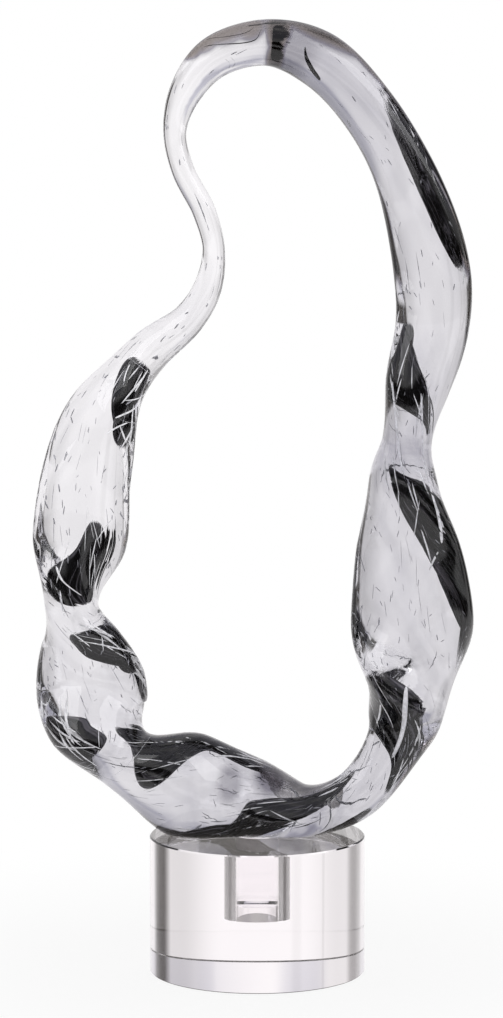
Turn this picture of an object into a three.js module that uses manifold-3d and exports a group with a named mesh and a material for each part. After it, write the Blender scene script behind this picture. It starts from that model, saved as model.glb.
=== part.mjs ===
// Twisted glass loop standing on a round crystal base.
//
// A flat gather of clear glass, with streaks of black glass laid into its surface, is cased in more clear
// glass, pulled out, twisted three full turns and bent round. A thin clear tail closes the loop. The
// underside is ground flat, and a clear peg bonded to it drops into a blind socket in the base.
//
// Millimetres, +Z up. The base stands on z = 0 with its axis on Z, and the broad side of the loop faces -Y.
import * as THREE from "three";
import { mergeVertices } from "three/addons/utils/BufferGeometryUtils.js";
import Module from "manifold-3d";

// Crystal base
const BASE_DIAMETER = 100;
const BASE_HEIGHT = 64;
const BASE_EDGE_BEVEL = 1.2;
const SOCKET_DIAMETER = 20;
const SOCKET_MOUTH_BEVEL = 0.6;

// Peg
const PEG_REACH = 30; // how far it hangs into the socket
const PEG_CLEARANCE = 0.3; // all round it in the socket
const PEG_FLOOR_CLEARANCE = 6.5; // from its end to the floor of the socket
const PEG_END_BEVEL = 0.8;

// Loop
const FOOT_GAP = 0.3; // under the ground foot: bond line to the peg, bearing gap to the base
const CASING_WALL = 4.6; // clear glass over the core
const CORE_GAP = 0.4; // between the casing and the core
const CORE_END_GAP = 0.3; // from each end of the core to the end of the casing
const STREAK_DEPTH = 2; // thickness of a streak
const STREAK_SINK = 0.3; // of a streak below the surface of the core
const STREAK_GAP = 0.7; // round a streak in its groove
const TAIL_GAP = 0.3; // where the tail meets each end of the casing
const TURNS = 3; // full turns of twist once round the loop

// Fineness of the facets
const CASING_SIDES = 18;
const CORE_SIDES = 12;
const RING_SPACING = 12; // most millimetres from ring to ring
const RING_TURN = 20; // most degrees of twist from ring to ring
const TAIL_SIDES = 12;
const STREAK_STEPS = 4; // across a streak
const BASE_SIDES = 64;
const PEG_SIDES = 40;

// The flat band of the loop, from its head at the upper left, down the left side, along the foot, up the
// right side and over the crown. Each station: x, rise above the foot, depth y, half width and half
// thickness of the section, and its twist in degrees (0 shows the broad face to the front).
const BAND_STATIONS = [
  [-50.8, 224.0, 4, 12.0, 10.6, -75],
  [-69.4, 199.5, 3, 19.2, 11.0, -40],
  [-78.7, 168.2, 2, 21.2, 12.0, 0],
  [-82.1, 135.6, 2, 23.0, 13.0, 20],
  [-86.0, 107.2, 4, 19.0, 13.0, 87],
  [-81.6, 90.3, 7, 22.8, 13.5, 142],
  [-77.8, 71.1, 8, 26.0, 14.0, 180],
  [-73.6, 51.0, 6, 26.4, 18.0, 220],
  [-61.0, 35.2, 3, 20.0, 16.0, 270],
  [-33.6, 23.2, 1, 25.6, 21.2, 360],
  [-4.8, 16.6, 4, 21.5, 16.4, 405],
  [22.7, 10.5, 2, 19.4, 12.8, 450],
  [45.4, 17.8, 2, 13.4, 11.6, 500],
  [64.0, 42.0, 4, 14.4, 13.2, 560],
  [70.2, 63.1, 5, 25.0, 18.8, 642],
  [71.8, 99.0, 3, 29.0, 15.0, 722],
  [69.8, 135.2, 0, 26.1, 13.0, 745],
  [67.1, 167.7, -3, 20.0, 14.9, 785],
  [68.9, 185.3, -4, 16.0, 12.0, 815],
  [73.6, 209.8, -3, 18.9, 13.3, 850],
  [80.3, 237.5, -1, 18.0, 12.0, 885],
  [79.9, 262.9, 1, 18.2, 12.0, 905],
  [68.5, 304.0, 3, 16.7, 10.8, 935],
  [50.6, 335.8, 4, 15.4, 12.6, 955],
  [28.6, 358.4, 3, 14.0, 13.6, 975],
  [4.8, 366.3, 2, 11.2, 11.2, 985],
];

// The clear tail between the crown and the head: x, rise above the foot, depth y, radius.
const TAIL_STATIONS = [
  [-19.3, 359.8, 1, 10.2],
  [-32.2, 344.8, 0, 8.2],
  [-37.6, 326.7, -1, 5.9],
  [-33.9, 308.4, -2, 5.8],
  [-24.2, 289.3, -2, 5.9],
  [-20.0, 271.9, -1, 5.7],
  [-23.0, 254.0, 1, 7.1],
  [-31.8, 239.8, 3, 8.2],
];

// The black streaks. Each row: a place in stations from the head, and where the streak starts and ends round
// the section there, in degrees from the outer side of the loop (0) over the front (90) to the inner (180).
const STREAKS = {
  black_streak_neck: [
    [0.12, 28, 172], [0.3, 36, 176], [0.55, 64, 180], [0.8, 92, 184], [1, 112, 186], [1.25, 135, 188],
    [1.5, 156, 190],
  ],
  black_streak_left_upper: [
    [2.6, 116, 160], [2.8, 96, 166], [3, 76, 170], [3.25, 50, 172], [3.5, 34, 174], [3.65, 36, 176],
    [3.8, 52, 178], [3.95, 76, 178],
  ],
  black_streak_left_lower: [
    [4.45, 72, 105], [4.65, 66, 140], [4.9, 74, 156], [5.1, 82, 168], [5.3, 100, 178], [5.5, 130, 188],
    [5.75, 158, 196], [6, 172, 200],
  ],
  black_streak_corner_outer: [
    [6.62, 0, 44], [6.8, -20, 76], [7, -28, 84], [7.2, -28, 94], [7.4, -14, 100], [7.55, 20, 98],
  ],
  black_streak_corner_inner: [
    [7.25, 112, 124], [7.5, 112, 152], [7.7, 118, 178], [7.9, 118, 194], [8.1, 108, 204], [8.25, 86, 210],
    [8.42, 64, 212], [8.55, 68, 214], [8.7, 94, 214], [8.85, 128, 214], [9.1, 160, 212], [9.4, 168, 210],
    [9.8, 168, 206], [10.2, 170, 198],
  ],
  black_streak_foot: [
    [8.9, -28, 10], [9.3, -32, 24], [9.6, -30, 36], [9.85, -20, 62], [10, -6, 90], [10.2, 20, 100],
    [10.45, 50, 114], [10.75, 74, 126], [11, 88, 134], [11.3, 102, 142], [11.6, 120, 160], [12, 148, 186],
    [12.35, 168, 200],
  ],
  black_streak_rise: [
    [10.9, -40, -4], [11.3, -52, 6], [11.7, -48, 8], [12.1, -36, 10],
  ],
  black_streak_right_lower: [
    [12.3, -22, 14], [12.5, -24, 42], [12.7, -14, 70], [12.9, 4, 120], [13.1, 18, 170], [13.35, 36, 196],
    [13.55, 52, 206], [13.8, 64, 208], [14, 66, 204], [14.2, 82, 194], [14.45, 110, 168],
  ],
  black_streak_right_middle: [
    [14.35, -30, -18], [14.7, -18, 0], [15, -12, 11], [15.3, -10, 22], [15.6, -12, 35], [15.9, -12, 49],
    [16.2, -2, 68], [16.5, 14, 92], [16.8, 36, 112], [17, 54, 120], [17.2, 88, 130], [17.4, 118, 140],
  ],
  black_streak_right_upper: [
    [18.1, 6, 30], [18.3, 12, 46], [18.5, 22, 90], [18.7, 36, 150], [18.9, 54, 196], [19.1, 74, 204],
    [19.3, 102, 206], [19.5, 122, 206], [19.75, 145, 206], [20, 166, 204],
  ],
  black_streak_shoulder: [
    [20.9, -24, 8], [21.3, -32, 28], [21.6, -36, 40], [21.9, -38, 49], [22.1, -38, 52], [22.3, -40, 46],
    [22.5, -42, 44], [22.8, -42, 46], [23.02, -40, 44], [23.3, -34, 30],
  ],
  black_streak_crown: [
    [24.6, -10, 186], [24.94, -20, 194],
  ],
};

const CLEAR_GLASS = { color: 0xf4f6f8, roughness: 0.03, metalness: 0, transparent: true, opacity: 0.35 };
const BLACK_GLASS = { color: 0x1b1b1f, roughness: 0.1, metalness: 0 };

const wasm = await Module();
wasm.setup();

// A closed geometry as a solid for cutting, and back again.
function toSolid(geometry) {
  const bare = geometry.clone();
  bare.deleteAttribute("normal");
  bare.deleteAttribute("uv");
  const merged = mergeVertices(bare, 1e-4);
  const vertProperties = new Float32Array(merged.attributes.position.array);
  const triVerts = new Uint32Array(merged.index.array);
  return new wasm.Manifold(new wasm.Mesh({ numProp: 3, vertProperties, triVerts }));
}

function toGeometry(solid) {
  const { vertProperties, triVerts } = solid.getMesh();
  const geometry = new THREE.BufferGeometry();
  geometry.setAttribute("position", new THREE.BufferAttribute(vertProperties, 3));
  geometry.setIndex(new THREE.BufferAttribute(triVerts, 1));
  geometry.computeVertexNormals();
  return geometry;
}

function piece(name, geometry, finish) {
  const mesh = new THREE.Mesh(geometry, new THREE.MeshStandardMaterial(finish));
  mesh.name = name;
  return mesh;
}

// The line of the loop, closed, and the section along it. Both count stations from the head.
const tailIndex = BAND_STATIONS.length - 1;
const stationCount = BAND_STATIONS.length + TAIL_STATIONS.length;
const centreLine = new THREE.CatmullRomCurve3(
  [...BAND_STATIONS, ...TAIL_STATIONS].map(([x, rise, depth]) => new THREE.Vector3(x, depth, rise)),
  true,
);

function closingTwist() {
  const [start, end] = [BAND_STATIONS[0][5] + 360 * TURNS, BAND_STATIONS[tailIndex][5]];
  const steps = TAIL_STATIONS.length + 1;
  return TAIL_STATIONS.map((_, i) => end + ((start - end) * (i + 1)) / steps);
}

const tailTwist = closingTwist();
const [, , , headWidth, headThickness, headTwist] = BAND_STATIONS[0];
const sectionRun = new THREE.CatmullRomCurve3(
  [
    ...BAND_STATIONS.map(([, , , width, thickness, twist]) => [width, thickness, twist]),
    ...TAIL_STATIONS.map(([, , , radius], i) => [radius, radius, tailTwist[i]]),
    [headWidth, headThickness, headTwist + 360 * TURNS],
  ].map((shape) => new THREE.Vector3(...shape)),
  false,
  "catmullrom",
);

// Centre, axes, twist and half sizes of the section at a place counted in stations.
function sectionAt(place) {
  const centre = centreLine.getPoint(place / stationCount);
  const along = centreLine.getTangent(place / stationCount);
  const front = new THREE.Vector3(0, -1, 0);
  front.addScaledVector(along, -front.dot(along)).normalize();
  const outward = new THREE.Vector3().crossVectors(along, front);
  const shape = sectionRun.getPoint(place / stationCount);
  const twist = THREE.MathUtils.degToRad(shape.z);
  return { centre, outward, front, twist, width: shape.x, thickness: shape.y };
}

// The same section taken in by an inset all round.
function inside(section, inset) {
  return { ...section, width: section.width - inset, thickness: section.thickness - inset };
}

// The point of a section at a distance from its centre, in a direction that starts at the outer side.
function fromCentre(section, distance, direction) {
  return section.centre
    .clone()
    .addScaledVector(section.outward, distance * Math.cos(direction))
    .addScaledVector(section.front, distance * Math.sin(direction));
}

// The point of a section's outline in a direction.
function outlinePoint(section, direction) {
  const { width, thickness, twist } = section;
  const [u, v] = [thickness * Math.cos(direction - twist), width * Math.sin(direction - twist)];
  return fromCentre(section, (width * thickness) / Math.hypot(u, v), direction);
}

// A ring whose corners keep their direction along the loop, so the skin stays smooth as the section turns.
function steadyRing(section, sides) {
  return Array.from({ length: sides }, (_, i) => outlinePoint(section, (2 * Math.PI * (i + 1)) / sides));
}

// A ring whose corners turn with the section, so that the edges of the band stay sharp.
function turningRing(section, sides) {
  return Array.from({ length: sides }, (_, i) => {
    const angle = (2 * Math.PI * (i + 1)) / sides;
    const [u, v] = [section.width * Math.cos(angle), section.thickness * Math.sin(angle)];
    return fromCentre(section, Math.hypot(u, v), section.twist + Math.atan2(v, u));
  });
}

// Rings stand at the same places in every piece of the loop, so that nested skins keep their distance.
const ringPlaces = [];
for (let station = 0; station < stationCount; station++) {
  const [here, next] = [sectionAt(station), sectionAt(station + 1)];
  const turn = THREE.MathUtils.radToDeg(next.twist - here.twist);
  const steps = Math.ceil(Math.max(here.centre.distanceTo(next.centre) / RING_SPACING, turn / RING_TURN));
  for (let i = 0; i < steps; i++) ringPlaces.push(station + i / steps);
}

function places(from, to) {
  return [from, ...ringPlaces.filter((place) => place > from && place < to), to];
}

// The share of a station that is this many millimetres long at a place.
function stationsFor(length, place) {
  const reach = 0.01;
  const ahead = centreLine.getPoint((place + reach) / stationCount);
  const behind = centreLine.getPoint((place - reach) / stationCount);
  return (length * 2 * reach) / ahead.distanceTo(behind);
}

// Joins rings of equal, even count into one closed skin. Each end is closed by rungs from one half of its
// ring to the other.
function loft(rings) {
  const sides = rings[0].length;
  const last = rings.length - 1;
  const faces = [];
  const corner = (ring, i) => ring * sides + (i % sides);
  for (let ring = 0; ring < last; ring++) {
    for (let i = 0; i < sides; i++) {
      const [a, b] = [corner(ring, i), corner(ring, i + 1)];
      const [c, d] = [corner(ring + 1, i + 1), corner(ring + 1, i)];
      faces.push(a, d, b, b, d, c);
    }
  }
  for (let i = 0; i < sides / 2 - 1; i++) {
    const [a, b, c, d] = [i, i + 1, sides - 2 - i, sides - 1 - i];
    faces.push(a, b, d, b, c, d);
    const [e, f, g, h] = [a, b, c, d].map((k) => corner(last, k));
    faces.push(e, h, f, f, h, g);
  }
  const geometry = new THREE.BufferGeometry().setFromPoints(rings.flat());
  geometry.setIndex(faces);
  geometry.computeVertexNormals();
  return geometry;
}

function crystalBase() {
  const radius = BASE_DIAMETER / 2;
  const socket = SOCKET_DIAMETER / 2;
  const floor = BASE_HEIGHT - PEG_REACH - PEG_FLOOR_CLEARANCE;
  const profile = [
    [0, 0],
    [radius - BASE_EDGE_BEVEL, 0],
    [radius, BASE_EDGE_BEVEL],
    [radius, BASE_HEIGHT - BASE_EDGE_BEVEL],
    [radius - BASE_EDGE_BEVEL, BASE_HEIGHT],
    [socket + SOCKET_MOUTH_BEVEL, BASE_HEIGHT],
    [socket, BASE_HEIGHT - SOCKET_MOUTH_BEVEL],
    [socket, floor],
    [0, floor],
  ].map(([r, z]) => new THREE.Vector2(r, z));
  return new THREE.LatheGeometry(profile, BASE_SIDES).rotateX(Math.PI / 2);
}

// The peg hangs from the ground foot of the loop, so its top is at height 0.
function peg() {
  const radius = SOCKET_DIAMETER / 2 - PEG_CLEARANCE;
  const profile = [
    [0, -PEG_REACH],
    [radius - PEG_END_BEVEL, -PEG_REACH],
    [radius, PEG_END_BEVEL - PEG_REACH],
    [radius, 0],
    [0, 0],
  ].map(([r, z]) => new THREE.Vector2(r, z));
  return new THREE.LatheGeometry(profile, PEG_SIDES).rotateX(Math.PI / 2);
}

// The bore that holds the core, carried past both ends of the casing. Its flats, not its corners, lie on the
// bored section, so that a core with corners on its own section fits inside it.
function coreBore() {
  const spread = 1 / Math.cos(Math.PI / CORE_SIDES);
  const rings = places(0, tailIndex).map((place) => {
    const section = inside(sectionAt(place), CASING_WALL);
    section.width *= spread;
    section.thickness *= spread;
    return turningRing(section, CORE_SIDES);
  });
  const past = (ring, place, way) => {
    const along = centreLine.getTangent(place / stationCount).multiplyScalar(way * CASING_WALL);
    return ring.map((point) => point.clone().add(along));
  };
  return loft([past(rings[0], 0, -1), ...rings, past(rings.at(-1), tailIndex, 1)]);
}

function clearCasing() {
  const skin = loft(places(0, tailIndex).map((place) => steadyRing(sectionAt(place), CASING_SIDES)));
  const reach = 4 * BASE_DIAMETER;
  const belowFoot = new THREE.BoxGeometry(reach, reach, reach).translate(0, 0, -reach / 2);
  return toGeometry(toSolid(skin).subtract(toSolid(coreBore())).subtract(toSolid(belowFoot)));
}

function clearTail() {
  const from = tailIndex + stationsFor(TAIL_GAP, tailIndex);
  const to = stationCount - stationsFor(TAIL_GAP, stationCount);
  return loft(places(from, to).map((place) => steadyRing(sectionAt(place), TAIL_SIDES)));
}

// Where a streak starts and ends round the section at a place, in radians.
function spanAt(rows, place) {
  const next = Math.max(1, rows.findIndex(([at], i) => at >= place || i === rows.length - 1));
  const [[startPlace, ...start], [endPlace, ...end]] = [rows[next - 1], rows[next]];
  const share = THREE.MathUtils.clamp((place - startPlace) / (endPlace - startPlace), 0, 1);
  return start.map((angle, i) => THREE.MathUtils.degToRad(THREE.MathUtils.lerp(angle, end[i], share)));
}

// A curved strip along a streak's rows, between two insets from the skin of the loop. A margin carries it on
// past its ends and sides.
function strip(rows, top, bottom, margin = 0) {
  const [first, last] = [rows[0][0], rows.at(-1)[0]];
  const stops = places(first, last);
  if (margin > 0) {
    stops.unshift(first - stationsFor(margin, first));
    stops.push(last + stationsFor(margin, last));
  }
  const rings = stops.map((place) => {
    const section = sectionAt(place);
    const [from, to] = spanAt(rows, place);
    const step = (to - from) / STREAK_STEPS;
    const directions = Array.from({ length: STREAK_STEPS + 1 }, (_, i) => from + i * step);
    if (margin > 0) {
      const side = margin / inside(section, bottom).thickness;
      directions.unshift(from - side);
      directions.push(to + side);
    }
    const [outer, inner] = [inside(section, top), inside(section, bottom)];
    return [
      ...directions.map((direction) => outlinePoint(outer, direction)),
      ...directions.toReversed().map((direction) => outlinePoint(inner, direction)),
    ];
  });
  return loft(rings);
}

const coreInset = CASING_WALL + CORE_GAP;
const streakTop = coreInset + STREAK_SINK;
const streakBottom = streakTop + STREAK_DEPTH;

function blackStreak(rows) {
  return strip(rows, streakTop, streakBottom);
}

// The core with a groove for each streak, cut from well outside it.
function clearCore() {
  const from = stationsFor(CORE_END_GAP, 0);
  const to = tailIndex - stationsFor(CORE_END_GAP, tailIndex);
  const rings = places(from, to).map((place) => turningRing(inside(sectionAt(place), coreInset), CORE_SIDES));
  const bottom = streakBottom + STREAK_GAP;
  const grooves = Object.values(STREAKS).map((rows) => strip(rows, -CASING_WALL, bottom, STREAK_GAP));
  const core = grooves.reduce((solid, groove) => solid.subtract(toSolid(groove)), toSolid(loft(rings)));
  return toGeometry(core);
}

const loop = new THREE.Group();
loop.add(piece("clear_casing", clearCasing(), CLEAR_GLASS));
loop.add(piece("clear_tail", clearTail(), CLEAR_GLASS));
loop.add(piece("clear_core", clearCore(), CLEAR_GLASS));
Object.entries(STREAKS).forEach(([name, rows]) => loop.add(piece(name, blackStreak(rows), BLACK_GLASS)));
loop.position.z = BASE_HEIGHT + FOOT_GAP;

const sculpture = new THREE.Group();
sculpture.add(piece("crystal_base", crystalBase(), CLEAR_GLASS));
const pegMesh = piece("clear_peg", peg(), CLEAR_GLASS);
pegMesh.position.z = BASE_HEIGHT;
sculpture.add(pegMesh, loop);

export default sculpture;
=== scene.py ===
"""Twisted clear glass loop with black streaks, on a round crystal base."""
import math
import random

import bmesh
import bpy
from bpy.props import FloatProperty, FloatVectorProperty, IntProperty, PointerProperty
from mathutils import Matrix, Vector


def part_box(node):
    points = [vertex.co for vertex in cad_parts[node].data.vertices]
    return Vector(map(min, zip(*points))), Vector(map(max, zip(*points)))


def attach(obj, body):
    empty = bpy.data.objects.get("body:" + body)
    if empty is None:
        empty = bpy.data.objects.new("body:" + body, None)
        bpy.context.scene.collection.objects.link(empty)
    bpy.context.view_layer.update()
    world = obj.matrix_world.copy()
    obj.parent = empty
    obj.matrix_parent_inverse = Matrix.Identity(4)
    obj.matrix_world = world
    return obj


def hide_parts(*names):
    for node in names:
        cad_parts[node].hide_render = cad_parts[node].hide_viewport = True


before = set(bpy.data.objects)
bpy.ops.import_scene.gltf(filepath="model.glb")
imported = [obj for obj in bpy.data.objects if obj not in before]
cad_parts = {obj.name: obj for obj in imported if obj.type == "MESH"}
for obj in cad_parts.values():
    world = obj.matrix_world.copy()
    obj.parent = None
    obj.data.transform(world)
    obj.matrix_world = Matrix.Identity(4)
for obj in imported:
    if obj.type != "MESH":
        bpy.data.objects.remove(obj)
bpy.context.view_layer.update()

bl_info = {
    "name": "Twisted Glass Loop",
    "version": (1, 0, 0),
    "blender": (4, 5, 0),
    "location": "3D View > Sidebar > Glass Loop",
    "description": "Builds a twisted glass loop with black streaks on a crystal base",
    "category": "Object",
}

MM = 0.001
WELD = 1e-7  # metres, over which the seams of a mesh are merged
GLASS_IOR = 1.5
CRYSTAL_IOR = 1.52
SPIN_STEPS = 128  # round the base and the peg
MIX_A, MIX_B, MIXED = 6, 7, 2  # colour sockets of a Mix node: the two that go in and the one that comes out

TURNS = 3  # of twist in one round of the loop
HEADING_STEP = 0.002  # stations either way, for the heading of the line
SPEED_STEP = 0.05  # stations either way, for the length of a station
PAINTED_SHADE_EDGE = 1.6  # how steeply a patch of painted shade thins out
PULL = 0.6  # share of the twist that the bubbles follow
LEAST_REACH = 3 * MM  # from the middle of a section, where a width is turned into an angle
FOOT_COVER = 0.2 * MM  # of clear glass under the lowest bubbles and hairs

# The line of the loop from its head at the upper left, down, along the foot, up the right side and over the
# crown: x, rise above the foot, depth, half width, half thickness (mm) and twist (degrees).
BAND = (
    (-50.8, 224.0, 4, 12.0, 10.6, -75), (-69.4, 199.5, 3, 19.2, 11.0, -40), (-78.7, 168.2, 2, 21.2, 12.0, 0),
    (-82.1, 135.6, 2, 23.0, 13.0, 20), (-86.0, 107.2, 4, 19.0, 13.0, 87), (-81.6, 90.3, 7, 22.8, 13.5, 142),
    (-77.8, 71.1, 8, 26.0, 14.0, 180), (-73.6, 51.0, 6, 26.4, 18.0, 220), (-61.0, 35.2, 3, 20.0, 16.0, 270),
    (-33.6, 23.2, 1, 25.6, 21.2, 360), (-4.8, 16.6, 4, 21.5, 16.4, 405), (22.7, 10.5, 2, 19.4, 12.8, 450),
    (45.4, 17.8, 2, 13.4, 11.6, 500), (64.0, 42.0, 4, 14.4, 13.2, 560), (70.2, 63.1, 5, 25.0, 18.8, 642),
    (71.8, 99.0, 3, 29.0, 15.0, 722), (69.8, 135.2, 0, 26.1, 13.0, 745), (67.1, 167.7, -3, 20.0, 14.9, 785),
    (68.9, 185.3, -4, 16.0, 12.0, 815), (73.6, 209.8, -3, 18.9, 13.3, 850), (80.3, 237.5, -1, 18, 12, 885),
    (79.9, 262.9, 1, 18.2, 12.0, 905), (68.5, 304.0, 3, 16.7, 10.8, 935), (50.6, 335.8, 4, 15.4, 12.6, 955),
    (28.6, 358.4, 3, 14.0, 13.6, 975), (4.8, 366.3, 2, 11.2, 11.2, 985),
)

# The clear tail that closes the loop: x, rise above the foot, depth and radius (mm).
TAIL = (
    (-19.3, 359.8, 1, 10.2), (-32.2, 344.8, 0, 8.2), (-37.6, 326.7, -1, 5.9), (-33.9, 308.4, -2, 5.8),
    (-24.2, 289.3, -2, 5.9), (-20.0, 271.9, -1, 5.7), (-23.0, 254.0, 1, 7.1), (-31.8, 239.8, 3, 8.2),
)

# The black streaks: place in stations from the head, then where the streak starts and ends round the section,
# in degrees from the outer side of the loop (0) over the front (90) to the inner side (180).
STREAKS = {
    "neck": (
        (0.12, 28, 172), (0.3, 36, 176), (0.55, 64, 180), (0.8, 92, 184), (1, 112, 186), (1.25, 135, 188),
        (1.5, 156, 190),
    ),
    "left_upper": (
        (2.6, 116, 160), (2.8, 96, 166), (3, 76, 170), (3.25, 50, 172), (3.5, 34, 174), (3.65, 36, 176),
        (3.8, 52, 178), (3.95, 76, 178),
    ),
    "left_lower": (
        (4.45, 72, 105), (4.65, 66, 140), (4.9, 74, 156), (5.1, 82, 168), (5.3, 100, 178), (5.5, 130, 188),
        (5.75, 158, 196), (6, 172, 200),
    ),
    "corner_outer": (
        (6.62, 0, 44), (6.8, -20, 76), (7, -28, 84), (7.2, -28, 94), (7.4, -14, 100), (7.55, 20, 98),
    ),
    "corner_inner": (
        (7.25, 112, 124), (7.5, 112, 152), (7.7, 118, 178), (7.9, 118, 194), (8.1, 108, 204),
        (8.25, 86, 210), (8.42, 64, 212), (8.55, 68, 214), (8.7, 94, 214), (8.85, 128, 214), (9.1, 160, 212),
        (9.4, 168, 210), (9.8, 168, 206), (10.2, 170, 198),
    ),
    "foot": (
        (8.9, -28, 10), (9.3, -32, 24), (9.6, -30, 36), (9.85, -20, 62), (10, -6, 90), (10.2, 20, 100),
        (10.45, 50, 114), (10.75, 74, 126), (11, 88, 134), (11.3, 102, 142), (11.6, 120, 160),
        (12, 148, 186), (12.35, 168, 200),
    ),
    "rise": ((10.9, -40, -4), (11.3, -52, 6), (11.7, -48, 8), (12.1, -36, 10)),
    "right_lower": (
        (12.3, -22, 14), (12.5, -24, 42), (12.7, -14, 70), (12.9, 4, 120), (13.1, 18, 170), (13.35, 36, 196),
        (13.55, 52, 206), (13.8, 64, 208), (14, 66, 204), (14.2, 82, 194), (14.45, 110, 168),
    ),
    "right_middle": (
        (14.35, -30, -18), (14.7, -18, 0), (15, -12, 11), (15.3, -10, 22), (15.6, -12, 35), (15.9, -12, 49),
        (16.2, -2, 68), (16.5, 14, 92), (16.8, 36, 112), (17, 54, 120), (17.2, 88, 130), (17.4, 118, 140),
    ),
    "right_upper": (
        (18.1, 6, 30), (18.3, 12, 46), (18.5, 22, 90), (18.7, 36, 150), (18.9, 54, 196), (19.1, 74, 204),
        (19.3, 102, 206), (19.5, 122, 206), (19.75, 145, 206), (20, 166, 204),
    ),
    "shoulder": (
        (20.9, -24, 8), (21.3, -32, 28), (21.6, -36, 40), (21.9, -38, 49), (22.1, -38, 52), (22.3, -40, 46),
        (22.5, -42, 44), (22.8, -42, 46), (23.02, -40, 44), (23.3, -34, 30),
    ),
    "crown": ((24.6, -10, 186), (24.94, -20, 194)),
}

# How much painted grey-lavender shade the clear glass carries along the loop, standing in for the duller
# surroundings that it shows: place in stations from the head, and share.
PAINTED_DIMMING = (
    (0, 0.1), (3, 0.18), (5, 0.33), (6.5, 0.36), (8, 0.45), (9.5, 0.6), (11, 0.62), (12.5, 0.5), (14, 0.46),
    (16, 0.46), (17, 0.55), (17.8, 0.75), (18.6, 0.55), (20, 0.36), (22, 0.44), (23, 0.58), (24.3, 0.7),
    (24.8, 0.8), (25.1, 0.3), (27, 0.03), (31, 0.03), (33, 0.18), (34, 0.1),
)

# Painted shade in the skin: dark and umber patches that stand in for the dark and brownish surroundings the
# glass shows, some where black glass comes near the skin. Place, direction (degrees), half length (stations),
# half width (degrees) and share.
PAINTED_SHADE = (
    (3.55, 8, 0.4, 40, 0.9), (9.6, 115, 0.3, 40, 0.22), (10.3, 150, 0.4, 55, 0.3),
    (10.95, 170, 0.6, 45, 0.27), (12.75, 6, 0.5, 44, 0.82), (13.25, 14, 0.45, 44, 0.84),
    (15.7, 6, 0.9, 26, 0.88), (21.3, 182, 0.8, 18, 0.75), (21.4, 10, 0.7, 32, 0.95),
    (22.1, 10, 0.9, 40, 0.97), (22.9, 10, 0.6, 38, 0.95), (23.4, 4, 0.7, 44, 0.82), (24.2, 14, 0.8, 58, 0.8),
    (24.55, 90, 0.6, 140, 0.17), (24.85, 50, 0.27, 95, 0.84), (24.85, 140, 0.27, 75, 0.84),
    (25.3, 35, 0.36, 62, 0.6), (25.65, 25, 0.55, 66, 0.62), (26.0, 20, 0.45, 64, 0.64),
    (26.25, 15, 0.32, 56, 0.7),
)

# Dark lines close under the skin of the crown: radius (mm), then the places and directions that each one runs
# through. The last place lies past the first, which keeps the faces of a line outwards.
DARK_LINES = (
    (1.1, (23.82, 126), (24.06, 116), (24.26, 100), (24.36, 80)),
    (0.25, (25.12, 50), (25.22, 78), (25.45, 82), (25.75, 68), (26.1, 38)),
    (0.15, (25.2, 30), (25.3, 50), (25.5, 54), (25.75, 42), (26.0, 14)),
    (0.12, (25.85, 108), (25.8, 130), (25.88, 150)),
    (0.12, (25.74, 110), (25.69, 132), (25.78, 150)),
)

# Long air lines over the streaks, in the same way.
AIR_LINES = (
    (0.3, (0.17, 150), (0.2, 88), (0.23, 48)), (0.25, (0.28, 76), (0.4, 82), (0.53, 91)),
    (0.28, (0.16, 116), (0.35, 117), (0.55, 118)), (0.28, (0.47, 150), (0.6, 132), (0.75, 112)),
    (0.28, (0.62, 143), (0.85, 128), (1.07, 114)), (0.25, (1.0, 146), (1.04, 132), (1.05, 119)),
    (0.25, (0.42, 146), (0.7, 146), (0.98, 146)), (0.25, (1.05, 132), (1.2, 122), (1.35, 112)),
    (0.42, (17.0, 52), (18.0, 60), (18.9, 85)), (0.42, (17.2, 90), (18.2, 115), (19.0, 135)),
    (0.4, (16.1, 45), (16.6, 49), (17.0, 52)), (0.9, (12.8, 85), (13.4, 91), (14.3, 98)),
    (0.6, (13.3, 152), (13.6, 140), (13.9, 130)), (0.4, (21.0, 6), (21.5, 22), (22.0, 38)),
    (0.35, (3.3, 60), (3.5, 75), (3.7, 110)), (0.35, (7.0, 30), (7.2, 55), (7.45, 80)),
    (0.35, (8.0, 60), (8.15, 110), (8.2, 160)), (0.35, (4.7, 90), (5.1, 130), (5.5, 165)),
)

# How thickly the bubbles lie along the loop: place in stations from the head, and share.
SEEDING = ((0, 0.6), (3, 1), (18, 1), (19.5, 0.3), (24, 0.4), (26, 0.06), (32.5, 0.06), (34, 0.6))


def linear(code):
    """Linear colour of an sRGB hex value."""
    parts = [int(code[i:i + 2], 16) / 255 for i in (1, 3, 5)]
    return [p / 12.92 if p <= 0.04045 else ((p + 0.055) / 1.055) ** 2.4 for p in parts]


def size(node, axis):
    """Size of a CAD node along an axis."""
    low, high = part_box(node)
    return high[axis] - low[axis]


def length(label, what, default):
    return FloatProperty(name=label, description=what, default=default, min=0, unit="LENGTH")


def number(label, what, default):
    return IntProperty(name=label, description=what, default=default, min=0)


def tint(label, what, code):
    return FloatVectorProperty(
        name=label, description=what, default=linear(code), min=0, max=1, subtype="COLOR")


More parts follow.
